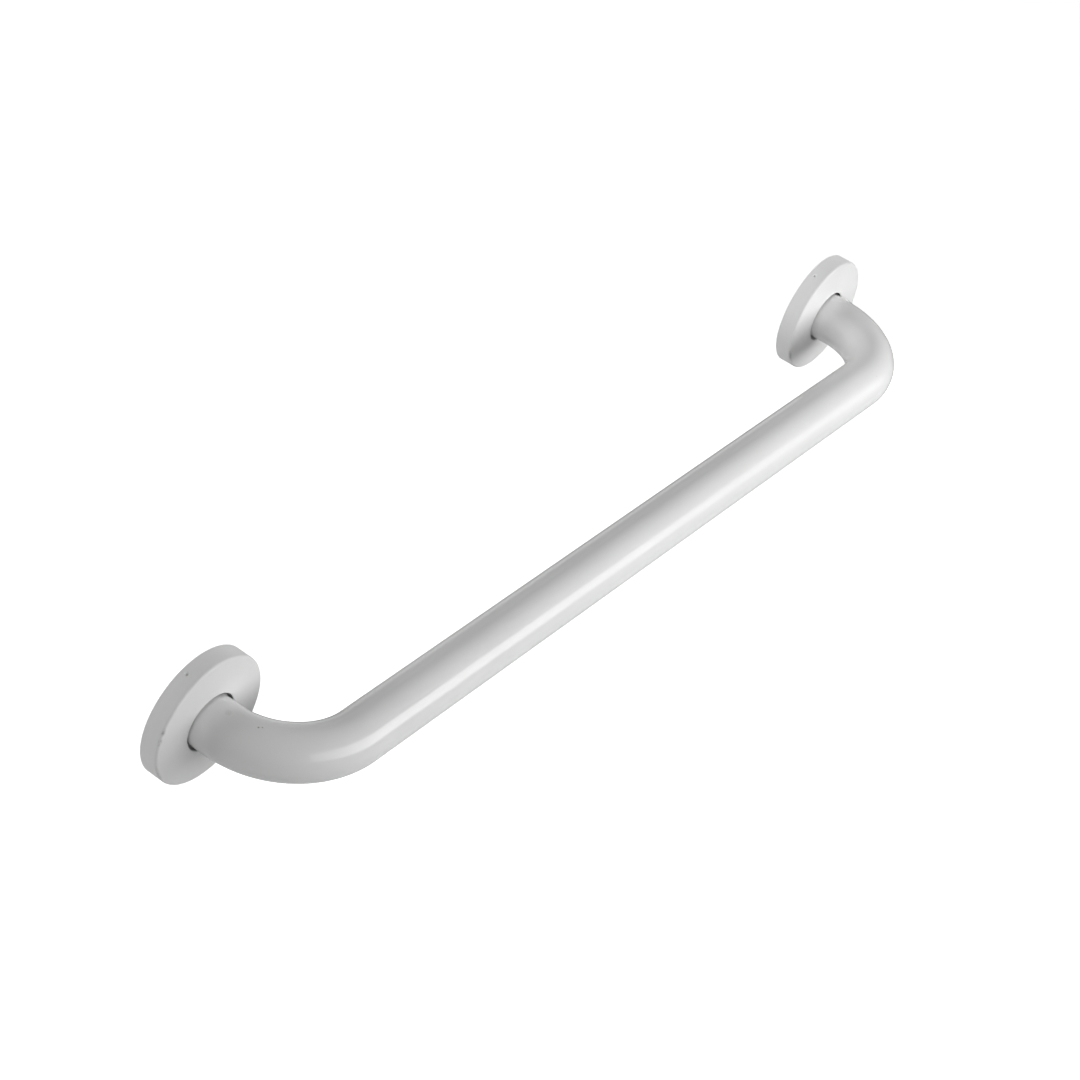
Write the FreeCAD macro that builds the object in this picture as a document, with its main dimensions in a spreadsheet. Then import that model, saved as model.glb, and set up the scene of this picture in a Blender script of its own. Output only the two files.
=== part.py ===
import FreeCAD, Part
import math
import os
import re
import Sketcher
from FreeCAD import Placement, Rotation, Vector

# A straight wall grab bar: one tube bent at both ends, welded to two mounting flanges, with a
# round cover pushed over each flange.
# The wall is the plane y = 0 and the bar stands out from it towards -y. The bar runs along x, +z is
# up, and the origin lies on the wall midway between the flanges. Lengths are in millimetres.

# Each row: the size's name, its value, and what it measures
DRIVING_SIZES = [
    ("fixing_centres", 600, "distance between the axes of the two legs"),
    ("tube_diameter", 32, "outside diameter of the tube"),
    ("tube_wall", 1.5, "wall of the tube"),
    ("bend_radius", 50, "radius of the tube's centre line in a bend"),
    ("leg_straight", 20, "from the wall to where the bend begins"),
    ("tube_end_recess", 1, "how far the tube's end stays back from the wall"),
    ("flange_thickness", 5, "thickness of a mounting flange"),
    ("flange_chamfer", 0.8, "chamfer on the flange's front edge, where the cover's dimples ride on"),
    ("tube_seat_clearance", 0.05, "between the tube and the flange's hole, all round"),
    ("weld_leg", 4, "leg of the fillet weld round the tube"),
    ("screw_count", 3, "screw holes in a flange"),
    ("screw_hole_diameter", 5.5, "clearance hole for a wall screw"),
    ("screw_head_diameter", 10.5, "countersink's mouth"),
    ("screw_head_angle", 90, "countersink's full angle in degrees"),
    ("left_flange_turn", 0, "turn of the left flange about its leg in degrees"),
    ("right_flange_turn", 180, "turn of the right flange about its leg in degrees"),
    ("cover_diameter", 78.5, "outside diameter of a cover's rim"),
    ("cover_rim_height", 11.8, "from the wall to the rim's sharp corner"),
    ("cover_face_rise", 1.1, "how far the face rises from the rim's corner to the hole"),
    ("cover_sheet", 1, "sheet thickness of a cover"),
    ("cover_chamfer", 0.8, "chamfer that takes the sharpness off the rim's corner"),
    ("cover_hole_clearance", 1.5, "between the tube and the cover's hole, all round"),
    ("cover_rim_gap", 1.25, "between the flange's edge and the inside of the cover's rim"),
    ("cover_dimple_clearance", 0.3, "between the flange's edge and the dimples that centre the cover"),
    ("dimple_count", 3, "dimples round a cover's rim"),
    ("dimple_height", 4.1, "from the wall to a dimple's centre"),
    ("dimple_punch_angle", 120, "full angle of the point that punched a dimple, in degrees"),
    ("left_cover_turn", 112.3, "turn of the left cover, from +x to its first dimple, in degrees"),
    ("right_cover_turn", 116.5, "turn of the right cover, from +x to its first dimple, in degrees"),
]

# Sizes that follow from the driving ones
FOLLOWING_SIZES = [
    ("tube_radius", "=tube_diameter / 2", "outside radius of the tube"),
    ("leg_offset", "=fixing_centres / 2", "from the middle of the bar to a leg's axis"),
    ("bar_distance", "=leg_straight + bend_radius", "from the wall to the bar's axis"),
    ("flange_radius", "=cover_diameter / 2 - cover_sheet - cover_rim_gap", "radius of a flange"),
    ("weld_radius", "=tube_radius + weld_leg", "radius of the weld's foot"),
    ("screw_radius", "=(weld_radius + flange_radius) / 2", "from the leg's axis to a screw hole"),
    ("cover_radius", "=cover_diameter / 2", "outside radius of a cover"),
    ("cover_bore_radius", "=cover_radius - cover_sheet", "inside radius of a cover's rim"),
    ("cover_hole_radius", "=tube_radius + cover_hole_clearance", "radius of a cover's hole"),
    ("cover_hole_height", "=cover_rim_height + cover_face_rise", "from the wall to the hole's edge"),
    ("face_slope", "=cover_face_rise / (cover_radius - cover_hole_radius)", "rise of the face"),
    ("cover_face_drop", "=cover_sheet * sqrt(1 + face_slope ^ 2)", "sheet measured along the axis"),
    ("dimple_tip", "=flange_radius + cover_dimple_clearance", "from the leg's axis to a dimple's tip"),
    ("dimple_root", "=cover_radius - cover_sheet / 2", "to the middle of the rim's sheet"),
    ("dent_tip", "=dimple_tip + cover_sheet / sin(dimple_punch_angle / 2)", "to the dent's deepest point"),
    ("dent_mouth", "=cover_radius + cover_sheet", "to the back of the punch's cone, clear of the rim"),
    ("dimple_flare", "=tan(dimple_punch_angle / 2)", "how fast a dimple widens from its tip"),
]

document = FreeCAD.newDocument("grab_bar")
sheet = document.addObject("Spreadsheet::Sheet", "Sizes")
for row, (name, value, note) in enumerate(DRIVING_SIZES + FOLLOWING_SIZES, start=1):
    sheet.set(f"A{row}", note)
    sheet.set(f"B{row}", str(value))
    sheet.setAlias(f"B{row}", name)
document.recompute()


def size(formula):
    """The value of a formula in the sheet's sizes."""
    value = sheet.evalExpression(formula)
    return float(getattr(value, "Value", value))


def bound(formula):
    """The same formula as another object reads it, with the sheet's name before each size."""
    names = {row[0] for row in DRIVING_SIZES + FOLLOWING_SIZES}

    def with_sheet(word):
        return "Sizes." + word.group() if word.group() in names else word.group()

    return re.sub("[a-z_]+", with_sheet, formula)


def new_body(label):
    """An empty sub-part with its own label."""
    body = document.addObject("PartDesign::Body", label)
    body.Label = label
    return body


def new_sketch(body, name, plane):
    """A sketch on one of the body's own origin planes."""
    sketch = body.newObject("Sketcher::SketchObject", name)
    support = [feature for feature in body.Origin.OriginFeatures if feature.Role == plane]
    sketch.AttachmentSupport = [(support[0], "")]
    sketch.MapMode = "FlatFace"
    return sketch


def dimension(sketch, kind, places, name, formula):
    """A named dimension that follows the sheet."""
    index = sketch.addConstraint(Sketcher.Constraint(kind, *places, size(formula)))
    sketch.renameConstraint(index, name)
    sketch.setExpression("Constraints." + name, bound(formula))


def pin_point(sketch, curve, end, name, across, up):
    """Holds one end of a curve at a place given by two formulas, where 0 is on the axis."""
    if across == "0":
        sketch.addConstraint(Sketcher.Constraint("PointOnObject", curve, end, -2))
    else:
        dimension(sketch, "DistanceX", (-1, 1, curve, end), name + "_across", across)
    if up == "0":
        sketch.addConstraint(Sketcher.Constraint("PointOnObject", curve, end, -1))
    else:
        dimension(sketch, "DistanceY", (-1, 1, curve, end), name + "_up", up)


def draw_outline(sketch, corners):
    """A closed outline of straight lines through named corners."""
    points = [Vector(size(across), size(up)) for _, across, up in corners]
    lines = []
    for start, end in zip(points, points[1:] + points[:1]):
        lines.append(sketch.addGeometry(Part.LineSegment(start, end), False))
    for index, line in enumerate(lines):
        following = lines[(index + 1) % len(lines)]
        sketch.addConstraint(Sketcher.Constraint("Coincident", line, 2, following, 1))
    for line, (name, across, up) in zip(lines, corners):
        pin_point(sketch, line, 1, name, across, up)


def draw_circle(sketch, name, across, radius):
    """A circle whose centre lies on the sketch's horizontal axis."""
    centre = Vector(size(across), 0)
    circle = sketch.addGeometry(Part.Circle(centre, Vector(0, 0, 1), size(radius)), False)
    pin_point(sketch, circle, 3, name, across, "0")
    dimension(sketch, "Radius", (circle,), name + "_radius", radius)


def revolve(body, name, kind, sketch, axis):
    """Turns a sketch once round one of its axes, adding to the body or cutting from it."""
    feature = body.newObject(kind, name)
    feature.Profile = sketch
    feature.ReferenceAxis = (sketch, [axis])
    feature.Angle = 360
    return feature


def chamfer_ring(body, name, radius, height, formula):
    """A chamfer on the body's circular edge of one radius at one height above the wall."""
    document.recompute()
    base = body.Tip
    near = size(formula) / 10
    rings = []
    for index, edge in enumerate(base.Shape.Edges, start=1):
        if not isinstance(edge.Curve, Part.Circle):
            continue
        off_radius = abs(edge.Curve.Radius - size(radius))
        off_height = abs(edge.Curve.Center.z - size(height))
        if off_radius < near and off_height < near:
            rings.append(f"Edge{index}")
    chamfer = body.newObject("PartDesign::Chamfer", name)
    chamfer.Base = (base, rings)
    chamfer.setExpression("Size", bound(formula))


def repeat_round(body, name, features, count):
    """Repeats features evenly round the body's own z axis."""
    document.recompute()
    pattern = body.newObject("PartDesign::PolarPattern", name)
    pattern.Originals = features
    upright = [feature for feature in body.Origin.OriginFeatures if feature.Role == "Z_Axis"]
    pattern.Axis = (upright[0], [""])
    pattern.Angle = 360
    pattern.setExpression("Occurrences", bound(count))
    body.Tip = pattern


def stand_on_wall(body, side, turn):
    """Turns a body's z axis away from the wall and puts it on a leg: side -1 is left, 1 right."""
    away_from_wall = Rotation(Vector(1, 0, 0), 90)
    about_leg = Rotation(Vector(0, 0, 1), size(turn))
    body.Placement = Placement(Vector(side * size("leg_offset"), 0, 0), away_from_wall * about_leg)
    body.setExpression("Placement.Base.x", bound("leg_offset") + f" * {side}")


def draw_centre_line(sketch):
    """The tube's centre line: leg, bend, bar, bend, leg."""
    leg, recess = size("leg_offset"), size("tube_end_recess")
    straight, radius, distance = size("leg_straight"), size("bend_radius"), size("bar_distance")
    left_centre = Vector(radius - leg, -straight)
    right_centre = Vector(leg - radius, -straight)
    upright = Vector(0, 0, 1)
    left_leg, left_bend, bar, right_bend, right_leg = sketch.addGeometry([
        Part.LineSegment(Vector(-leg, -recess), Vector(-leg, -straight)),
        Part.ArcOfCircle(Part.Circle(left_centre, upright, radius), math.pi, 1.5 * math.pi),
        Part.LineSegment(Vector(radius - leg, -distance), Vector(leg - radius, -distance)),
        Part.ArcOfCircle(Part.Circle(right_centre, upright, radius), 1.5 * math.pi, 2 * math.pi),
        Part.LineSegment(Vector(leg, -straight), Vector(leg, -recess)),
    ], False)
    sketch.addConstraint([
        Sketcher.Constraint("Tangent", left_leg, 2, left_bend, 1),
        Sketcher.Constraint("Tangent", left_bend, 2, bar, 1),
        Sketcher.Constraint("Tangent", bar, 2, right_bend, 1),
        Sketcher.Constraint("Tangent", right_bend, 2, right_leg, 1),
        Sketcher.Constraint("Vertical", left_leg),
        Sketcher.Constraint("Horizontal", bar),
        Sketcher.Constraint("Vertical", right_leg),
        Sketcher.Constraint("Equal", left_bend, right_bend),
    ])
    pin_point(sketch, left_leg, 1, "left_end", "-leg_offset", "-tube_end_recess")
    pin_point(sketch, right_leg, 2, "right_end", "leg_offset", "-tube_end_recess")
    dimension(sketch, "Radius", (left_bend,), "bend", "bend_radius")
    dimension(sketch, "DistanceY", (-1, 1, left_leg, 2), "leg_end", "-leg_straight")


def make_tube():
    """One tube, swept along its centre line from flange to flange."""
    body = new_body("bar_tube")
    path = new_sketch(body, "centre_line", "XY_Plane")
    draw_centre_line(path)
    section = new_sketch(body, "tube_section", "XZ_Plane")
    section.setExpression(".AttachmentOffset.Base.z", bound("tube_end_recess"))
    draw_circle(section, "outside", "-leg_offset", "tube_radius")
    draw_circle(section, "inside", "-leg_offset", "tube_radius - tube_wall")
    document.recompute()
    sweep = body.newObject("PartDesign::AdditivePipe", "tube_sweep")
    sweep.Profile = section
    sweep.Spine = (path, [f"Edge{index}" for index in range(1, len(path.Shape.Edges) + 1)])
    return body


def make_flange(label, side, turn):
    """A round plate with a hole for the tube and countersunk screw holes round it."""
    body = new_body(label)
    outline = new_sketch(body, label + "_outline", "XY_Plane")
    draw_circle(outline, "edge", "0", "flange_radius")
    draw_circle(outline, "seat", "0", "tube_radius + tube_seat_clearance")
    plate = body.newObject("PartDesign::Pad", label + "_plate")
    plate.Profile = outline
    plate.setExpression("Length", bound("flange_thickness"))
    chamfer_ring(body, label + "_chamfer", "flange_radius", "flange_thickness", "flange_chamfer")
    place = new_sketch(body, label + "_screw_place", "XY_Plane")
    place.setExpression(".AttachmentOffset.Base.z", bound("flange_thickness"))
    draw_circle(place, "screw", "screw_radius", "screw_hole_diameter / 2")
    document.recompute()
    hole = body.newObject("PartDesign::Hole", label + "_screw_hole")
    hole.Profile = place
    document.recompute()
    hole.ThreadType = "None"
    hole.DepthType = "ThroughAll"
    hole.HoleCutType = "Countersink"
    hole.HoleCutCustomValues = True
    hole.setExpression("Diameter", bound("screw_hole_diameter"))
    hole.setExpression("HoleCutDiameter", bound("screw_head_diameter"))
    hole.setExpression("HoleCutCountersinkAngle", bound("screw_head_angle"))
    repeat_round(body, label + "_screw_holes", [hole], "screw_count")
    stand_on_wall(body, side, turn)
    return body


def make_weld(label, side):
    """The fillet weld between the tube and the flange's front."""
    body = new_body(label)
    section = new_sketch(body, label + "_section", "XZ_Plane")
    draw_outline(section, [
        ("toe_on_tube", "tube_radius", "flange_thickness + weld_leg"),
        ("root", "tube_radius", "flange_thickness"),
        ("toe_on_flange", "weld_radius", "flange_thickness"),
    ])
    revolve(body, label + "_bead", "PartDesign::Revolution", section, "V_Axis")
    stand_on_wall(body, side, "0")
    return body


def punch_dimples(body, label):
    """Pointed dimples round a cover's rim: a nose inside, a dent outside and sheet between them."""
    features = []
    for kind, side, tip, root in (
        ("PartDesign::Revolution", "nose", "dimple_tip", "dimple_root"),
        ("PartDesign::Groove", "dent", "dent_tip", "dent_mouth"),
    ):
        section = new_sketch(body, f"{label}_{side}_section", "XZ_Plane")
        section.setExpression(".AttachmentOffset.Base.y", bound("dimple_height"))
        draw_outline(section, [
            ("tip", tip, "0"),
            ("root", root, "0"),
            ("flank", root, f"({root} - {tip}) * dimple_flare"),
        ])
        document.recompute()
        features.append(revolve(body, f"{label}_{side}", kind, section, "H_Axis"))
    repeat_round(body, label + "_dimples", features, "dimple_count")


def make_cover(label, side, turn):
    """A pressed cap: a rim, a face that rises to the tube's hole, and dimples in the rim."""
    body = new_body(label)
    section = new_sketch(body, label + "_section", "XZ_Plane")
    draw_outline(section, [
        ("rim_outside", "cover_radius", "0"),
        ("chamfer_on_rim", "cover_radius", "cover_rim_height - cover_chamfer"),
        ("chamfer_on_face", "cover_radius - cover_chamfer",
         "cover_rim_height + cover_chamfer * face_slope"),
        ("hole_outside", "cover_hole_radius", "cover_hole_height"),
        ("hole_inside", "cover_hole_radius", "cover_hole_height - cover_face_drop"),
        ("corner_inside", "cover_bore_radius",
         "cover_rim_height + cover_sheet * face_slope - cover_face_drop"),
        ("rim_inside", "cover_bore_radius", "0"),
    ])
    revolve(body, label + "_shell", "PartDesign::Revolution", section, "V_Axis")
    punch_dimples(body, label)
    stand_on_wall(body, side, turn)
    return body


sub_parts = [
    make_tube(),
    make_flange("left_flange", -1, "left_flange_turn"),
    make_flange("right_flange", 1, "right_flange_turn"),
    make_weld("left_weld", -1),
    make_weld("right_weld", 1),
    make_cover("left_cover", -1, "left_cover_turn"),
    make_cover("right_cover", 1, "right_cover_turn"),
]
document.recompute()

for item in document.Objects:
    if "Invalid" in item.State or "Error" in item.State:
        raise RuntimeError(f"{item.Label} could not be built: {item.State}")
for body in sub_parts:
    if body.Shape.isNull() or not body.Shape.isValid():
        raise RuntimeError(f"{body.Label} has no valid shape")

os.makedirs("parts", exist_ok=True)
for body in sub_parts:
    body.Shape.exportStep(f"parts/{body.Label}.step")
    box = body.Shape.optimalBoundingBox()
    print(f"{body.Label}: {len(body.Shape.Solids)} solid, {body.Shape.Volume:.1f} cubic mm,",
          f"x {box.XMin:.2f} to {box.XMax:.2f}, y {box.YMin:.2f} to {box.YMax:.2f},",
          f"z {box.ZMin:.2f} to {box.ZMax:.2f}")
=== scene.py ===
import math

import bpy
from mathutils import Matrix, Vector


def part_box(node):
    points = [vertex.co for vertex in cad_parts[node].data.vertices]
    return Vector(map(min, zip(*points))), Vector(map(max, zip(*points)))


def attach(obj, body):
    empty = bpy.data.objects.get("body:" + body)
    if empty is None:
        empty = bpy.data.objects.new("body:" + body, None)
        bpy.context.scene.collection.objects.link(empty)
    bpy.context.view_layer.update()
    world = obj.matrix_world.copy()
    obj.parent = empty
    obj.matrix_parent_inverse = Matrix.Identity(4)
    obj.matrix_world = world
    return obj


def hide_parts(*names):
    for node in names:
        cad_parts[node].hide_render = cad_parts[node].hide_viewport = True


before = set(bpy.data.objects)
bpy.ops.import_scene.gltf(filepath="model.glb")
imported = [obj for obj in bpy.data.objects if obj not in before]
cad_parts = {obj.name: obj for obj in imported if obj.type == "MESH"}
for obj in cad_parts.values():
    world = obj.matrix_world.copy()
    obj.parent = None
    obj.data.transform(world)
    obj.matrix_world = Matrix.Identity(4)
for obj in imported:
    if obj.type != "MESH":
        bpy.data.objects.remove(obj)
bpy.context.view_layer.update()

# A white wall grab bar: a glossy bent tube and two satin covers pushed over its mounting flanges.
# The wall is the plane y = 0, the bar stands out towards -y, +z is up. Lengths are in metres.

MM = 0.001

# Sizes that the frame gives
tube_low, tube_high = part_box("bar_tube")
cover_low, cover_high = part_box("right_cover")
COVER_RADIUS = cover_high.z
TUBE_RADIUS = tube_high.z
TUBE_END = -tube_high.y
LEG_X = cover_high.x - COVER_RADIUS
BAR_DISTANCE = -tube_low.y - TUBE_RADIUS
HOLE_HEIGHT = -cover_low.y
_, weld_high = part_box("right_weld")
WELD_RADIUS = weld_high.z
WELD_FOOT = -weld_high.y

# Sizes of the tube that its box does not give
TUBE_WALL = 1.5 * MM
BEND_RADIUS = 50 * MM
TUBE_EDGE = 0.25 * MM

# Sizes of a cover that its box does not give
COVER_SHEET = 1.0 * MM
COVER_CORNER = 1.4 * MM
COVER_EDGE = 0.25 * MM
HOLE_EDGE = 0.75 * MM
HOLE_LOW_EDGE = 0.2 * MM
INSIDE_CORNER = 0.35 * MM
HOLE_CLEARANCE = 1.5 * MM
FACE_RISE = 1.1 * MM
DIMPLE_COUNT = 3
DIMPLE_HEIGHT = 4.1 * MM
COVER_TURNS = {"left": math.radians(112.3), "right": math.radians(116.5)}
DENT_MOUTH = 1.4 * MM
DENT_DEPTH = 1.2 * MM
NOSE_FOOT = 1.65 * MM
NOSE_HEIGHT = 0.95 * MM
DENT_ROUND = 0.25 * MM
MOUTH_ROUND = DENT_ROUND / 4

# Dark marks on the covers' corners, the narrow ones specks and the wide ones painted shade along the
# corner's lower part: middle and reach of the angle in degrees, and strength
COVER_SPECKS_AND_SHADE = {
    "left": ((159, 3, 0.9), (168, 4, 0.7), (205, 12, 0.35)),
    "right": ((207, 12, 0.9), (160, 4, 0.2)),
}
CORNER_MARK_INSET = 0.4 * COVER_CORNER

# Sizes of the weld's ripples
RIPPLE_COUNT = 64
RIPPLE_HEIGHT = 0.16 * MM
RIPPLE_LAG = 0.55
RIPPLE_SHARPNESS = 1.5
RIPPLE_SINK = 0.6
BEAD_CROWN = 0.35 * MM

# How much the streaks along the tube are drawn out
GRAIN_STRETCH = 0.03

# How finely curved pieces are divided
TUBE_SIDES = 128
BEND_STEPS = 64
BAR_STEPS = 60
ROUND_STEPS = 6
COVER_STEP = math.radians(2.5)
DIMPLE_STEP = math.radians(0.5)
DIMPLE_REACH = math.radians(4.5)
RIM_STEP = 0.4 * MM
FACE_STEP = 2 * MM
RIPPLE_SIDES = 6
BEAD_STEPS = 8

# Where the rows of a cover's face begin, in radii of the corner beside them
FACE_START = 1.4
INNER_FACE_START = 1.5


def ring_piece(name, rings, normals=None, marks=()):
    """A closed skin through rings of points, each joined to the next and the last to the first.

    Each mark is a name, a kind and a value for every point, which a material can read.
    """
    count, sides = len(rings), len(rings[0])
    points = [point for ring in rings for point in ring]
    faces = []
    for row in range(count):
        ahead = (row + 1) % count
        for side in range(sides):
            beside = (side + 1) % sides
            faces.append((row * sides + side, row * sides + beside,
                          ahead * sides + beside, ahead * sides + side))
    mesh = bpy.data.meshes.new(name)
    mesh.from_pydata(points, [], faces)
    mesh.shade_smooth()
    if normals:
        mesh.normals_split_custom_set_from_vertices([way for ring in normals for way in ring])
    for mark, kind, values in marks:
        layer = mesh.attributes.new(mark, kind, "POINT")
        if kind == "FLOAT":
            layer.data.foreach_set("value", values)
        else:
            layer.data.foreach_set("vector", [part for value in values for part in value])
    piece = bpy.data.objects.new(name, mesh)
    bpy.context.scene.collection.objects.link(piece)
    return piece


def arc(centre, radius, start, end, steps=ROUND_STEPS):
    """Points of an arc as (across, up, normal across, normal up); angles in degrees."""
    points = []
    for step in range(steps + 1):
        angle = math.radians(start + (end - start) * step / steps)
        across, up = math.cos(angle), math.sin(angle)
        points.append((centre[0] + radius * across, centre[1] + radius * up, across, up))
    return points


def centre_line():
    """Stations along the tube from the left end to the right: centre, forward, outward."""
    straight = BAR_DISTANCE - BEND_RADIUS
    stations = [(Vector((-LEG_X, -TUBE_END, 0)), Vector((0, -1, 0)))]
    for step in range(BEND_STEPS + 1):
        turn = math.pi / 2 * step / BEND_STEPS
        place = Vector((-math.cos(turn), -math.sin(turn), 0)) * BEND_RADIUS
        centre = Vector((BEND_RADIUS - LEG_X, -straight, 0)) + place
        stations.append((centre, Vector((math.sin(turn), -math.cos(turn), 0))))
    reach = LEG_X - BEND_RADIUS
    for step in range(1, BAR_STEPS):
        x = -reach + 2 * reach * step / BAR_STEPS
        stations.append((Vector((x, -BAR_DISTANCE, 0)), Vector((1, 0, 0))))
    for centre, forward in reversed(stations[:BEND_STEPS + 2]):
        mirrored = Vector((-centre.x, centre.y, 0))
        stations.append((mirrored, Vector((forward.x, -forward.y, 0))))
    return stations


def tube_ring(centre, forward, radius, normal_across, normal_along):
    """One ring of the tube with its normals; the normals lean along the tube at its ends."""
    upward = Vector((0, 0, 1))
    outward = upward.cross(forward)
    ring, normals = [], []
    for side in range(TUBE_SIDES):
        angle = 2 * math.pi * side / TUBE_SIDES
        way = outward * math.cos(angle) + upward * math.sin(angle)
        ring.append(centre + way * radius)
        normals.append(way * normal_across + forward * normal_along)
    return ring, normals


def make_tube():
    """The bent tube as one closed skin: outside, right end, bore, left end."""
    stations = centre_line()
    reached = [0.0]
    for (start, _), (end, _) in zip(stations, stations[1:]):
        reached.append(reached[-1] + (end - start).length)
    inside = range(1, len(stations) - 1)
    bore = TUBE_RADIUS - TUBE_WALL
    outer, inner = TUBE_RADIUS - TUBE_EDGE, bore + TUBE_EDGE
    rings, lengths, bare = [], [], []

    def add_ring(index, shift, radius, across, along, bareness):
        centre, forward = stations[index]
        rings.append(tube_ring(centre + forward * shift, forward, radius, across, along))
        lengths.append(reached[index] + shift)
        bare.append(bareness)

    def add_lip(index, facing):
        outside = [(*point, 0) for point in arc((outer, 0), TUBE_EDGE, 0, 90)]
        lip = outside + [(*point, 1) for point in arc((inner, 0), TUBE_EDGE, 90, 180)]
        for radius, along, across, lean, bareness in lip[::facing]:
            shift = facing * (along - TUBE_EDGE)
            add_ring(index, shift, radius, across, lean * facing, bareness)

    for index in inside:
        add_ring(index, 0, TUBE_RADIUS, 1, 0, 0)
    add_lip(len(stations) - 1, 1)
    for index in reversed(inside):
        add_ring(index, 0, bore, -1, 0, 1)
    add_lip(0, -1)
    grain = []
    for (_, ways), length in zip(rings, lengths):
        for side in range(TUBE_SIDES):
            angle = 2 * math.pi * side / TUBE_SIDES
            around = (TUBE_RADIUS * math.cos(angle), TUBE_RADIUS * math.sin(angle))
            grain.append((length * GRAIN_STRETCH, *around))
    marks = [
        ("grain", "FLOAT_VECTOR", grain),
        ("bare", "FLOAT", [value for value in bare for _ in range(TUBE_SIDES)]),
    ]
    tube = ring_piece("tube_skin", [ring for ring, _ in rings], [ways for _, ways in rings], marks)
    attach(tube, "bar")
    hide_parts("bar_tube")
    return tube


def dimple_angles():
    """Angles of the rings' points from a cover's first dimple, close together at the dimples."""
    angles = []
    gap = 2 * math.pi / DIMPLE_COUNT
    near_steps = round(2 * DIMPLE_REACH / DIMPLE_STEP)
    far_steps = round((gap - 2 * DIMPLE_REACH) / COVER_STEP)
    for dimple in range(DIMPLE_COUNT):
        start = dimple * gap - DIMPLE_REACH
        for step in range(near_steps):
            angles.append(start + 2 * DIMPLE_REACH * step / near_steps)
        for step in range(far_steps):
            angles.append(start + 2 * DIMPLE_REACH + (gap - 2 * DIMPLE_REACH) * step / far_steps)
    return angles


def dent(angle, radius, height, mouth, depth):
    """How deep a punched dimple pushes in a point of the rim."""
    if not mouth:
        return 0
    gap = 2 * math.pi / DIMPLE_COUNT
    off = (angle + gap / 2) % gap - gap / 2
    apart = math.hypot(off * radius, height - DIMPLE_HEIGHT)
    if apart >= 2 * mouth:
        return 0
    slope = (mouth - math.hypot(apart, DENT_ROUND)) * depth / mouth
    return (slope + math.hypot(slope, MOUTH_ROUND)) / 2


def rows(start, end, step):
    """Evenly spaced values from start to end, about one step apart."""
    count = max(1, round(abs(end - start) / step))
    return [start + (end - start) * index / count for index in range(count + 1)]


def cover_outline():
    """The cover's section, once round: radius, height, and a dimple's mouth and depth there."""
    hole = TUBE_RADIUS + HOLE_CLEARANCE
    rise = FACE_RISE / (COVER_RADIUS - hole)
    lean = math.degrees(math.atan(rise))
    bore = COVER_RADIUS - COVER_SHEET
    rim_height = HOLE_HEIGHT - FACE_RISE
    inside_height = rim_height - COVER_SHEET

    def face(radius, drop=0):
        return HOLE_HEIGHT - (radius - hole) * rise - drop

    outline = []

    def add(points, mouth=0, depth=0):
        outline.extend((point[0], point[1], mouth, depth) for point in points)

    add(arc((COVER_RADIUS - COVER_EDGE, COVER_EDGE), COVER_EDGE, -90, 0))
    top = rim_height - COVER_CORNER
    rim = rows(2 * COVER_EDGE, top - COVER_EDGE, RIM_STEP)
    add([(COVER_RADIUS, height) for height in rim], DENT_MOUTH, DENT_DEPTH)
    add(arc((COVER_RADIUS - COVER_CORNER, top), COVER_CORNER, 0, 90 - lean, 10))
    edge_radius = hole + HOLE_EDGE
    face_start = COVER_RADIUS - COVER_CORNER * FACE_START
    outer_face = rows(face_start, edge_radius + HOLE_EDGE, FACE_STEP)
    add([(radius, face(radius)) for radius in outer_face])
    add(arc((edge_radius, face(edge_radius) - HOLE_EDGE), HOLE_EDGE, 90 - lean, 180))
    low_radius = hole + HOLE_LOW_EDGE
    low_edge = face(low_radius, COVER_SHEET) + HOLE_LOW_EDGE
    add(arc((low_radius, low_edge), HOLE_LOW_EDGE, 180, 270 - lean))
    inner_face_start = bore - INSIDE_CORNER * INNER_FACE_START
    inner_face = rows(low_radius + HOLE_LOW_EDGE, inner_face_start, FACE_STEP)
    add([(radius, face(radius, COVER_SHEET)) for radius in inner_face])
    inside_top = inside_height - INSIDE_CORNER
    add(arc((bore - INSIDE_CORNER, inside_top), INSIDE_CORNER, 90 - lean, 0))
    inner_rim = rows(inside_top - COVER_EDGE, 2 * COVER_EDGE, RIM_STEP)
    add([(bore, height) for height in inner_rim], NOSE_FOOT, NOSE_HEIGHT)
    add(arc((bore + COVER_EDGE, COVER_EDGE), COVER_EDGE, 180, 270))
    return outline


def corner_specks_and_shade(specks_and_shade, angle, radius, height):
    """How dark a cover is painted at a point, only on its outer corner near the given angles: specks,
    and painted shade along the corner's lower part.
    """
    corner_height = HOLE_HEIGHT - FACE_RISE - CORNER_MARK_INSET
    corner_radius = COVER_RADIUS - CORNER_MARK_INSET
    nearness = 1 - math.hypot(radius - corner_radius, height - corner_height) / COVER_CORNER
    darkness = 0
    for middle, reach, strength in specks_and_shade:
        off = abs((math.degrees(angle) - middle + 180) % 360 - 180)
        darkness = max(darkness, strength * max(0, 1 - off / reach))
    return darkness * max(0, nearness)


def make_cover(side_name, side):
    """A pressed cap: a rim with punched dimples, a rounded corner and a face with the tube's hole."""
    angles = dimple_angles()
    turn = COVER_TURNS[side_name]
    rings, shade_and_dirt, corner_shade_and_specks = [], [], []
    for radius, height, mouth, depth in cover_outline():
        ring = []
        for angle in angles:
            sunk = dent(angle, radius, height, mouth, depth)
            across = radius - sunk
            ring.append((side * LEG_X + across * math.cos(angle + turn), -height,
                         across * math.sin(angle + turn)))
            # Painted shade in the dimples' pits: the deeper the dent, the darker
            shade_and_dirt.append(min(sunk / DENT_DEPTH, 1))
            # Painted shade along the lower part of the cover's corner, and a few specks
            corner_shade_and_specks.append(corner_specks_and_shade(COVER_SPECKS_AND_SHADE[side_name], angle + turn, radius, height))
        rings.append(ring)
    marks = [("shade_and_dirt", "FLOAT", shade_and_dirt), ("corner_shade_and_specks", "FLOAT", corner_shade_and_specks)]
    cover = ring_piece(f"{side_name}_cover_shell", rings, marks=marks)
    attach(cover, f"cover_{side_name}")
    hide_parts(f"{side_name}_cover")
    return cover


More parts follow.
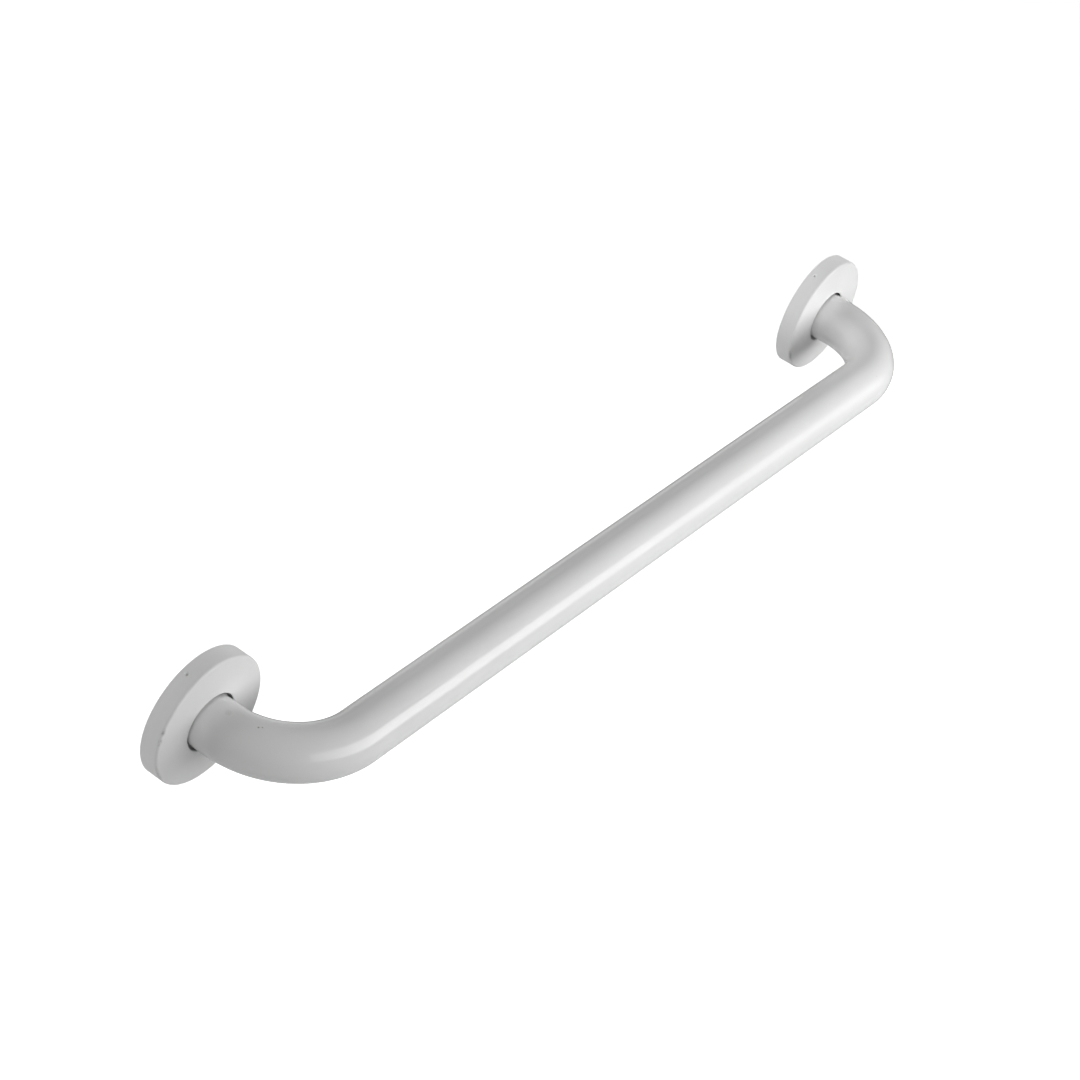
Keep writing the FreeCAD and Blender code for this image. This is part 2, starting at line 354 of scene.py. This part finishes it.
def make_weld(side_name, side):
    """A rippled fillet weld between the tube and its flange."""
    sides = RIPPLE_COUNT * RIPPLE_SIDES
    leg = WELD_RADIUS - TUBE_RADIUS
    profile = [(0, 0)]
    for step in range(BEAD_STEPS + 1):
        share = step / BEAD_STEPS
        crown = BEAD_CROWN * math.sin(math.pi * share)
        profile.append((leg * share + crown, leg * (1 - share) + crown))
    rings = []
    for index, (across, up) in enumerate(profile):
        bulge = math.sin(math.pi * max(index - 1, 0) / BEAD_STEPS)
        ring = []
        for step in range(sides):
            angle = 2 * math.pi * step / sides
            phase = (step / RIPPLE_SIDES + RIPPLE_LAG * bulge) % 1
            wave = abs(2 * phase - 1) ** RIPPLE_SHARPNESS - RIPPLE_SINK
            ripple = RIPPLE_HEIGHT * bulge * wave
            radius = TUBE_RADIUS + across + ripple
            height = WELD_FOOT + up + ripple
            ring.append((side * LEG_X + radius * math.cos(angle), -height, radius * math.sin(angle)))
        rings.append(ring)
    weld = ring_piece(f"{side_name}_weld_bead", rings)
    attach(weld, "bar")
    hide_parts(f"{side_name}_weld")
    return weld


# How fine the paint's textures are, each one over a length in metres
CLOUDS = 14
SMEARS = 35
PEEL = 380
SPECKS = 420
CORNER_MARK_PATCHES = 700
GRAIN = 900
FINE_PEEL = 2600
STREAK_DEPTH = 0.004 * MM

# Colours and strengths of specks and of dark marks, which are painted shade in the covers' dimple pits
# and along part of their corners and dirt elsewhere, and the share of a mark's radius inside which it
# is evenly dark
SPECK_COLOUR = (0.35, 0.34, 0.32)
SPECK_STRENGTH = 0.6
SHADE_AND_DIRT_COLOUR = (0.22, 0.215, 0.2)
DIMPLE_SHADE_STRENGTH = 0.55
MARK_CORE = 0.4

# Marks on the tube that the photograph shows: place, radius and strength
TUBE_MARKS = (
    ((-0.2982, -0.0414, 0.0158), 0.7 * MM, 0.7),
    ((-0.2968, -0.0428, 0.0159), 0.6 * MM, 0.6),
    ((-0.3018, -0.0239, 0.0159), 2.5 * MM, 0.12),
)

# The bore's bare steel: its two tones, how metallic it is and how much rougher than the paint
STEEL_TONES = (0.28, 0.36)
STEEL_METALLIC = 0.5
STEEL_ROUGHER = 0.35


def new_material(name):
    """A node material: its tree, its shader and its object coordinates."""
    material = bpy.data.materials.new(name)
    material.use_nodes = True
    nodes = material.node_tree.nodes
    coordinates = nodes.new("ShaderNodeTexCoord")
    return material, nodes["Principled BSDF"], coordinates.outputs["Object"]


def noise(material, vector, scale, detail=2.0, roughness=0.5):
    """A noise texture on object coordinates; its size is one over the scale, in metres."""
    node = material.node_tree.nodes.new("ShaderNodeTexNoise")
    node.inputs["Scale"].default_value = scale
    node.inputs["Detail"].default_value = detail
    node.inputs["Roughness"].default_value = roughness
    material.node_tree.links.new(vector, node.inputs["Vector"])
    return node.outputs["Fac"]


def ramp(material, factor, low, high, low_value, high_value):
    """Maps a factor between low and high to two values, smoothly."""
    node = material.node_tree.nodes.new("ShaderNodeMapRange")
    node.interpolation_type = "SMOOTHSTEP"
    node.inputs["From Min"].default_value = low
    node.inputs["From Max"].default_value = high
    node.inputs["To Min"].default_value = low_value
    node.inputs["To Max"].default_value = high_value
    material.node_tree.links.new(factor, node.inputs["Value"])
    return node.outputs["Result"]


def mix_colour(material, factor, first, second):
    """Mixes two colours, each a colour or a socket."""
    node = material.node_tree.nodes.new("ShaderNodeMix")
    node.data_type = "RGBA"
    links = material.node_tree.links
    links.new(factor, node.inputs["Factor"])
    for socket, colour in ((node.inputs[6], first), (node.inputs[7], second)):
        if isinstance(colour, bpy.types.NodeSocket):
            links.new(colour, socket)
        else:
            socket.default_value = (*colour, 1)
    return node.outputs[2]


def bump(material, height, distance, strength, before=None):
    """Bump from a height texture, on top of an earlier bump."""
    node = material.node_tree.nodes.new("ShaderNodeBump")
    node.inputs["Distance"].default_value = distance
    node.inputs["Strength"].default_value = strength
    links = material.node_tree.links
    links.new(height, node.inputs["Height"])
    if before:
        links.new(before, node.inputs["Normal"])
    return node.outputs["Normal"]


def mark(material, name):
    """The outputs of what a piece's points carry under a name, which are 0 where they carry nothing."""
    node = material.node_tree.nodes.new("ShaderNodeAttribute")
    node.attribute_name = name
    return node.outputs


def maths(material, operation, first, second):
    """One calculation on two values, each a number or a socket."""
    node = material.node_tree.nodes.new("ShaderNodeMath")
    node.operation = operation
    for socket, value in zip(node.inputs, (first, second)):
        if isinstance(value, bpy.types.NodeSocket):
            material.node_tree.links.new(value, socket)
        else:
            socket.default_value = value
    return node.outputs["Value"]


def spot(material, where, centre, radius, strength):
    """A round mark on the surface: strength at a point, fading to 0 at a radius."""
    node = material.node_tree.nodes.new("ShaderNodeVectorMath")
    node.operation = "DISTANCE"
    node.inputs[1].default_value = centre
    material.node_tree.links.new(where, node.inputs[0])
    return ramp(material, node.outputs["Value"], radius * MARK_CORE, radius, strength, 0)


def paint(name, tones, roughnesses, peel_depth, spots=()):
    """White stove enamel: orange peel, slight clouds in tone and gloss, specks, painted shade in the
    covers' dimple pits and along part of their corners, and marks.

    Where a piece's points are marked as bare, it is plain steel instead.
    """
    material, shader, where = new_material(name)
    links = material.node_tree.links
    clouds = noise(material, where, CLOUDS, 3)
    colour = mix_colour(material, ramp(material, clouds, 0.35, 0.65, 0, 1), *tones)
    specks = ramp(material, noise(material, where, SPECKS, 1), 0.845, 0.87, 0, SPECK_STRENGTH)
    colour = mix_colour(material, specks, colour, SPECK_COLOUR)
    # Painted shade in the covers' dimple pits, darker where the dent is deeper
    shade_and_dirt = ramp(material, mark(material, "shade_and_dirt")["Fac"], 0.15, 0.9, 0, DIMPLE_SHADE_STRENGTH)
    # Painted shade along part of the covers' corners, with specks, broken into patches
    patches = ramp(material, noise(material, where, CORNER_MARK_PATCHES, 2), 0.4, 0.6, 0.2, 1)
    patchy_shade_and_specks = maths(material, "MULTIPLY", mark(material, "corner_shade_and_specks")["Fac"], patches)
    shade_and_dirt = maths(material, "MAXIMUM", shade_and_dirt, patchy_shade_and_specks)
    for centre, radius, strength in spots:
        shade_and_dirt = maths(material, "MAXIMUM", shade_and_dirt, spot(material, where, centre, radius, strength))
    # One dark colour for the painted shade and for the dirt marks
    colour = mix_colour(material, shade_and_dirt, colour, SHADE_AND_DIRT_COLOUR)
    smears = noise(material, where, SMEARS, 4, 0.6)
    roughness = ramp(material, smears, 0.3, 0.7, *roughnesses)
    grain = noise(material, mark(material, "grain")["Vector"], GRAIN, 2)
    streaks = bump(material, grain, STREAK_DEPTH, 0.5)
    peel = bump(material, noise(material, where, PEEL, 2), peel_depth, 0.35, streaks)
    fine_peel = bump(material, noise(material, where, FINE_PEEL, 1), peel_depth / 4, 0.25, peel)
    links.new(fine_peel, shader.inputs["Normal"])
    bare = ramp(material, mark(material, "bare")["Fac"], 0.2, 0.9, 0, 1)
    steel = ramp(material, clouds, 0.3, 0.7, *STEEL_TONES)
    rougher = maths(material, "MULTIPLY", bare, STEEL_ROUGHER)
    links.new(mix_colour(material, bare, colour, steel), shader.inputs["Base Color"])
    links.new(maths(material, "MULTIPLY", bare, STEEL_METALLIC), shader.inputs["Metallic"])
    links.new(maths(material, "ADD", roughness, rougher), shader.inputs["Roughness"])
    return material


def dress(piece, material):
    """Gives a piece, or a CAD node, one material."""
    piece.data.materials.clear()
    piece.data.materials.append(material)


# The long soft box over the bar, brightest where the bar mirrors it: share of its length, radiance
KEY_GLOW = ((0, 1.3), (0.083, 1.7), (0.167, 2.4), (0.25, 3.1), (0.333, 3.6), (0.417, 3.75), (0.5, 3.3),
            (0.583, 2.6), (0.667, 1.9), (0.75, 1.35), (0.833, 1.1), (1, 1.0))

# Name, place, target, direction of the length, length, height, radiance, what it lights
LAMPS = (
    ("key", (0.37, -0.66, 0.169), (0.37, -0.07, -0.081), (1, 0, -0.12), 1.813, 0.37, 3.75, "both"),
    ("back_board", (1.1, 0.8, 0.295), (1.1, 0, 0.295), (1, 0, 0), 2.6, 1.09, 0.58, "gloss"),
    ("back_foot", (1.1, 0.83, -0.21), (1.1, 0, -0.21), (1, 0, 0), 2.6, 0.62, 0.33, "gloss"),
    ("low_board", (0.6, -0.1, -0.5), (0.6, -0.1, 0), (1, 0, 0), 2.6, 0.86, 0.11, "gloss"),
    ("back_left", (-0.8, 0.9, 0), (0, 0, 0), (1, 0, 0), 1.0, 0.6, 2.75, "surfaces"),
    ("left_front", (-1.3, -0.6, 0.5), (0, 0, 0), (0, 1, 0), 0.8, 0.6, 2.9, "surfaces"),
    ("behind_bar", (0, 0.35, 0.1), (0.3, 0, 0), (1, 0, 0), 0.6, 0.3, 0.6, "surfaces"),
    ("top_right", (0.25, -0.15, 0.7), (0.3, 0, 0), (1, 0, 0), 0.7, 0.5, 0.68, "surfaces"),
    ("front", (0.7, -0.66, 0.13), (0.7, -0.07, -0.12), (1, 0, -0.12), 0.6, 0.37, 2.1, "surfaces"),
    ("right", (1.5, 0.1, 0.3), (0, 0.1, 0.3), (0, 1, 0), 1.4, 1.0, 1.6, "surfaces"),
    ("left_rim", (-0.3, 0.1, 0.13), (-0.3, 0, 0.03), (1, 0, 0), 0.16, 0.06, 1.8, "surfaces"),
    ("right_rim", (0.3, 0.1, 0.13), (0.3, 0, 0.03), (1, 0, 0), 0.16, 0.06, 2.8, "surfaces"),
)


def soft_box(name, place, target, along, length, height, radiance, lit):
    """A rectangular studio lamp of a given radiance that faces a target, its length along a direction.

    It lights surfaces, gloss, or both. A fill lamp stands for light from all round, so gloss does
    not show its outline; a white board far back is only mirrored.
    """
    light = bpy.data.lights.new(name, "AREA")
    light.shape = "RECTANGLE"
    light.size = length
    light.size_y = height
    light.energy = radiance * math.pi * length * height
    lamp = bpy.data.objects.new(name, light)
    bpy.context.scene.collection.objects.link(lamp)
    back = (Vector(place) - Vector(target)).normalized()
    upward = back.cross(Vector(along)).normalized()
    turn = Matrix((upward.cross(back), upward, back)).transposed()
    lamp.matrix_world = Matrix.Translation(place) @ turn.to_4x4()
    lamp.visible_camera = False
    lamp.visible_glossy = lit != "surfaces"
    lamp.visible_diffuse = lit != "gloss"
    return lamp


def shade_lamp(lamp, glow):
    """Makes a lamp shine unevenly along its length, as a bank of tubes behind a cloth does."""
    lamp.data.use_nodes = True
    nodes, links = lamp.data.node_tree.nodes, lamp.data.node_tree.links
    geometry = nodes.new("ShaderNodeNewGeometry")
    along = nodes.new("ShaderNodeSeparateXYZ")
    shades = nodes.new("ShaderNodeValToRGB")
    brightest = max(radiance for _, radiance in glow)
    stops = shades.color_ramp.elements
    while len(stops) < len(glow):
        stops.new(0.5)
    for stop, (share, radiance) in zip(stops, glow):
        stop.position = share
        stop.color = (*[radiance / brightest] * 3, 1)
    links.new(geometry.outputs["Parametric"], along.inputs["Vector"])
    links.new(along.outputs["X"], shades.inputs["Fac"])
    links.new(shades.outputs["Color"], nodes["Emission"].inputs["Color"])


# The photograph's camera
CAMERA_PLACE = Vector((-1.14616, -0.64699, 0.97789))
CAMERA_AZIMUTH = math.radians(-60.882)
CAMERA_ELEVATION = math.radians(37.762)
CAMERA_ROLL = math.radians(-13.718)
CAMERA_LENS = 92.304
CAMERA_SENSOR = 36
CAMERA_REACH = (0.05, 50)


def make_camera():
    """The camera at the photograph's place and angle."""
    data = bpy.data.cameras.new("camera")
    data.lens = CAMERA_LENS
    data.sensor_width = CAMERA_SENSOR
    data.clip_start, data.clip_end = CAMERA_REACH
    camera = bpy.data.objects.new("camera", data)
    bpy.context.scene.collection.objects.link(camera)
    level = math.cos(CAMERA_ELEVATION)
    back = Vector((math.sin(CAMERA_AZIMUTH) * level, -math.cos(CAMERA_AZIMUTH) * level,
                   math.sin(CAMERA_ELEVATION)))
    right = Vector((0, 0, 1)).cross(back).normalized()
    up = back.cross(right)
    tilted_right = right * math.cos(CAMERA_ROLL) - up * math.sin(CAMERA_ROLL)
    tilted_up = right * math.sin(CAMERA_ROLL) + up * math.cos(CAMERA_ROLL)
    turn = Matrix((tilted_right, tilted_up, back)).transposed()
    camera.matrix_world = Matrix.Translation(CAMERA_PLACE) @ turn.to_4x4()
    bpy.context.scene.camera = camera


def background_strength(nodes, links, mirrored, unseen):
    """A strength: 1 for the camera and through glass, mirrored for gloss and unseen for the rest."""
    path = nodes.new("ShaderNodeLightPath")
    seen = nodes.new("ShaderNodeMath")
    seen.operation = "MAXIMUM"
    links.new(path.outputs["Is Camera Ray"], seen.inputs[0])
    links.new(path.outputs["Is Transmission Ray"], seen.inputs[1])
    gloss = nodes.new("ShaderNodeMapRange")
    gloss.inputs["To Min"].default_value = unseen
    gloss.inputs["To Max"].default_value = mirrored
    links.new(path.outputs["Is Glossy Ray"], gloss.inputs["Value"])
    strength = nodes.new("ShaderNodeMath")
    strength.operation = "MAXIMUM"
    links.new(seen.outputs[0], strength.inputs[0])
    links.new(gloss.outputs["Result"], strength.inputs[1])
    return strength.outputs[0]


def make_world(mirrored, ambient):
    """A white background that lights the object only softly."""
    world = bpy.data.worlds.new("studio")
    bpy.context.scene.world = world
    world.use_nodes = True
    nodes, links = world.node_tree.nodes, world.node_tree.links
    background = nodes["Background"]
    background.inputs["Color"].default_value = (1, 1, 1, 1)
    links.new(background_strength(nodes, links, mirrored, ambient), background.inputs["Strength"])


# The floor's own paint
FLOOR_COLOUR = (0.8, 0.8, 0.8)
FLOOR_ROUGHNESS = 0.9


def make_floor(drop, span, glow, mirrored):
    """A pale floor under the object, which glows for the camera so that it looks white."""
    mesh = bpy.data.meshes.new("floor")
    half = span / 2
    corners = [(-half, -half, -drop), (half, -half, -drop), (half, half, -drop), (-half, half, -drop)]
    mesh.from_pydata(corners, [], [(0, 1, 2, 3)])
    floor = bpy.data.objects.new("floor", mesh)
    bpy.context.scene.collection.objects.link(floor)
    material = bpy.data.materials.new("floor_paint")
    material.use_nodes = True
    nodes, links = material.node_tree.nodes, material.node_tree.links
    shader = nodes["Principled BSDF"]
    shader.inputs["Base Color"].default_value = (*FLOOR_COLOUR, 1)
    shader.inputs["Roughness"].default_value = FLOOR_ROUGHNESS
    shader.inputs["Emission Color"].default_value = (1, 1, 1, 1)
    strength = nodes.new("ShaderNodeMath")
    strength.operation = "MULTIPLY"
    strength.inputs[1].default_value = glow
    links.new(background_strength(nodes, links, mirrored / glow, 0), strength.inputs[0])
    links.new(strength.outputs[0], shader.inputs["Emission Strength"])
    mesh.materials.append(material)


gloss_paint = paint("gloss_white", tones=((0.84, 0.84, 0.84), (0.82, 0.82, 0.82)),
                    roughnesses=(0.03, 0.06), peel_depth=0.01 * MM, spots=TUBE_MARKS)
satin_paint = paint("satin_white", tones=((0.84, 0.84, 0.84), (0.81, 0.81, 0.81)),
                    roughnesses=(0.36, 0.46), peel_depth=0.03 * MM)

dress(make_tube(), gloss_paint)
for side_name, side in (("left", -1), ("right", 1)):
    dress(make_cover(side_name, side), satin_paint)
    dress(make_weld(side_name, side), gloss_paint)
    dress(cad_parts[f"{side_name}_flange"], gloss_paint)

make_camera()
make_world(mirrored=0.2, ambient=0.03)
make_floor(drop=0.75, span=14, glow=0.94, mirrored=0.08)
lamps = {lamp[0]: soft_box(*lamp) for lamp in LAMPS}
shade_lamp(lamps["key"], KEY_GLOW)

bpy.context.scene.view_settings.view_transform = "Standard"
